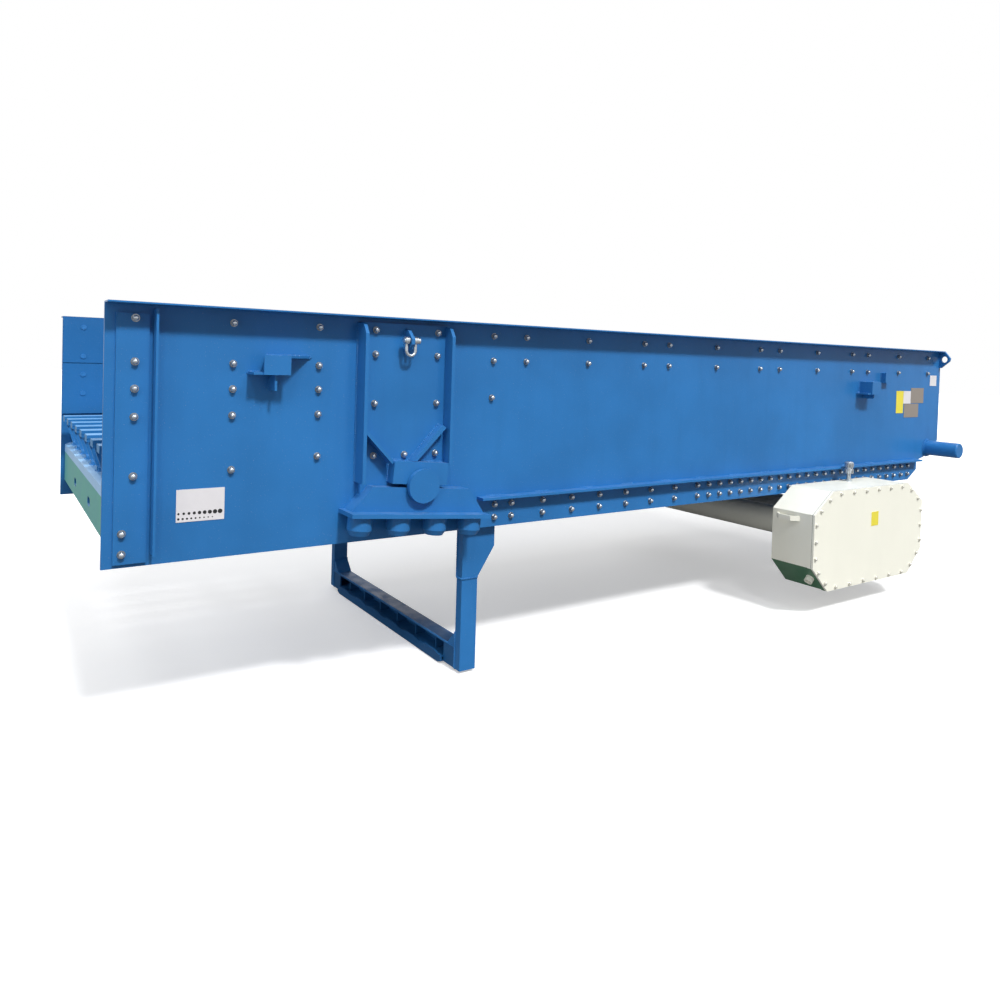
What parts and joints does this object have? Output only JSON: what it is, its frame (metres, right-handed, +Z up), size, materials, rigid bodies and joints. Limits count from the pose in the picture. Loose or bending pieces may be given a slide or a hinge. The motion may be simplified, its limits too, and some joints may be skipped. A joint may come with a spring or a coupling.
{
  "type": "linear vibratory feeder",
  "caption": "Vibratory feeder: a bolted trough with a feed pan and a bar deck, hung on spring seats, with an exciter under its feed end.",
  "frame": {"origin": "middle of the two slotted holes in the front face of the discharge beam", "axes": "+X along the trough towards the feed end, +Y across towards the side without the exciter case, +Z up"},
  "size_m": [6, 2.379, 1.728],
  "materials": {
    "blue_paint": "gloss",
    "cream_paint": "gloss",
    "worn_steel": "satin",
    "zinc": "satin",
    "gasket": "matte",
    "yellow_label": "satin",
    "white_label": "satin",
    "grey_label": "satin"
  },
  "bodies": {
    "feeder": {"side_plate_near": "blue_paint", "side_plate_far": "blue_paint", "lower_stiffeners": "blue_paint", "end_doublers": "blue_paint", "end_ribs": "blue_paint", "upper_liners": "blue_paint", "lower_liners": "blue_paint", "rear_wall": "blue_paint", "feed_pan": "blue_paint", "pan_webs": "blue_paint", "pan_step": "blue_paint", "discharge_beam": "blue_paint", "deck_beams": "blue_paint", "grizzly_bars": "blue_paint", "bracket_panel_near": "blue_paint", "bracket_panel_far": "blue_paint", "bracket_ribs": "blue_paint", "bracket_gussets": "blue_paint", "trunnion_block_near": "blue_paint", "trunnion_block_far": "blue_paint", "spring_box_near": "blue_paint", "spring_box_far": "blue_paint", "seat_plate_near": "blue_paint", "seat_plate_far": "blue_paint", "spring_locators": "blue_paint", "front_cross_tube": "blue_paint", "rear_cross_tube": "blue_paint", "tube_end_caps": "blue_paint", "tube_collars": "blue_paint", "lifting_eyes": "blue_paint", "rear_lugs": "blue_paint", "side_brackets": "blue_paint", "frame_posts": "blue_paint", "frame_gussets": "blue_paint", "frame_beam": "blue_paint", "exciter_hanger_near": "blue_paint", "exciter_hanger_far": "blue_paint", "side_bolts_near": "zinc", "side_bolts_far": "zinc", "gauge_plate": "white_label", "yellow_plates": "yellow_label", "white_plates": "white_label", "grey_plates": "grey_label", "exciter_case": "cream_paint", "exciter_cover": "cream_paint", "exciter_gasket": "gasket", "cover_bolts": "zinc", "exciter_handle": "cream_paint", "exciter_breather": "zinc", "drain_boss": "cream_paint", "shaft_tubes": "cream_paint", "exciter_end_box": "cream_paint", "end_caps": "cream_paint", "shaft_bearings": "worn_steel"},
    "drive_rotor": {"drive_shaft": "worn_steel", "drive_gear": "worn_steel"},
    "idler_rotor": {"idler_shaft": "worn_steel", "idler_gear": "worn_steel"},
    "near_shackle": {"shackle_near": "zinc"},
    "far_shackle": {"shackle_far": "zinc"}
  },
  "joints": [
    {"name": "drive_spin", "type": "hinge", "parent": "feeder", "child": "drive_rotor", "pos_m": [4.739, 0, -0.39], "axis": [0, 1, 0], "continuous": true},
    {"name": "idler_spin", "type": "hinge", "parent": "feeder", "child": "idler_rotor", "pos_m": [4.269, 0, -0.39], "axis": [0, 1, 0], "continuous": true},
    {"name": "near_shackle_swing", "type": "hinge", "parent": "feeder", "child": "near_shackle", "pos_m": [1.205, -0.962, 0.745], "axis": [1, 0, 0], "range_deg": [-120, 20]},
    {"name": "far_shackle_swing", "type": "hinge", "parent": "feeder", "child": "far_shackle", "pos_m": [1.205, 0.962, 0.745], "axis": [1, 0, 0], "range_deg": [-20, 120]}
  ],
  "couplings": [
    {"joint": "idler_spin", "follows": "drive_spin", "ratio": -1}
  ]
}
